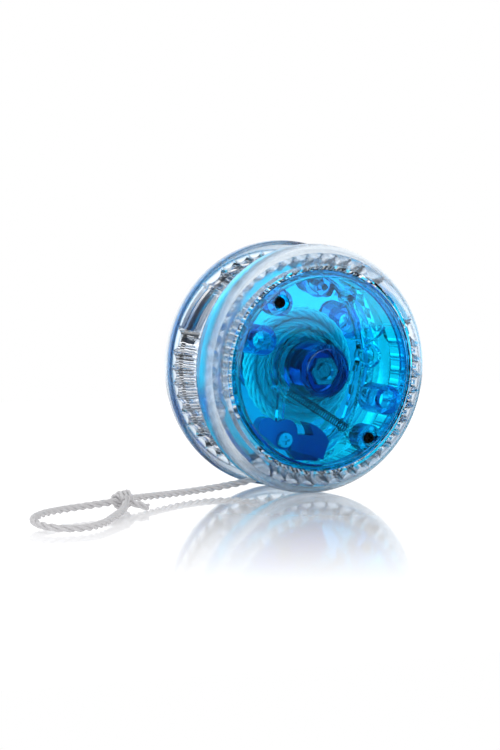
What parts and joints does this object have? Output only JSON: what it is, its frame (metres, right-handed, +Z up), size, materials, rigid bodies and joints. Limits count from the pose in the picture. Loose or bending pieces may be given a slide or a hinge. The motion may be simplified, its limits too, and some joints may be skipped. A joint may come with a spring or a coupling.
{
  "type": "yo yo",
  "caption": "Clear clutch yo yo: fluted halves with satin rims and see-through caps, centrifugal clutch, string with a knotted finger loop.",
  "frame": {"origin": "middle of the string gap on the axle, the centre of the box round the yo yo without its string", "axes": "+Y along the axle, from the clutch half to the plain half; +Z up; the string leaves towards -X"},
  "size_m": [0.1124, 0.0682, 0.057],
  "materials": {
    "clear_plastic": "polished, clear",
    "satin_plastic": "satin, clear",
    "blue_plastic": "polished, see-through blue",
    "dark_blue_plastic": "polished",
    "black_steel": "black oxide",
    "steel": "plain steel",
    "white_nylon": "natural nylon",
    "cotton": "twisted three-strand string"
  },
  "bodies": {
    "spool": {"spindle": "clear_plastic", "spindle_bush": "white_nylon", "string_winding": "cotton", "string_tail": "cotton", "string_loop": "cotton", "string_knot": "cotton", "string_end": "cotton"},
    "halves": {"front_body": "clear_plastic", "front_rim": "satin_plastic", "front_cap": "blue_plastic", "front_hub_plug": "blue_plastic", "front_cap_screws": "black_steel", "front_axle_nut": "steel", "rear_body": "clear_plastic", "rear_rim": "satin_plastic", "rear_cap": "blue_plastic", "rear_hub_plug": "blue_plastic", "rear_cap_screws": "black_steel", "rear_axle_nut": "steel", "axle": "steel", "thrust_washers": "white_nylon", "left_arm_screw": "steel", "right_arm_pin": "steel", "clutch_spring": "steel"},
    "left_arm": {"left_clutch_arm": "dark_blue_plastic", "left_arm_lever": "clear_plastic", "left_arm_weight": "steel"},
    "right_arm": {"right_clutch_arm": "clear_plastic"}
  },
  "joints": [
    {"name": "halves_spin", "type": "hinge", "parent": "spool", "child": "halves", "pos_m": [0, 0, 0], "axis": [0, 1, 0], "continuous": true},
    {"name": "left_arm_swing", "type": "hinge", "parent": "halves", "child": "left_arm", "pos_m": [-0.0086, -0.009, -0.01555], "axis": [0, -1, 0], "range_deg": [0, 8], "stiffness_Nm_per_rad": 0.006, "springref_deg": -11.46, "deforming": ["clutch_spring"]},
    {"name": "right_arm_swing", "type": "hinge", "parent": "halves", "child": "right_arm", "pos_m": [0.0089, -0.009, 0.016], "axis": [0, -1, 0], "range_deg": [0, 1.2]}
  ],
  "couplings": [
    {"joint": "right_arm_swing", "follows": "left_arm_swing", "ratio": 0.15}
  ]
}
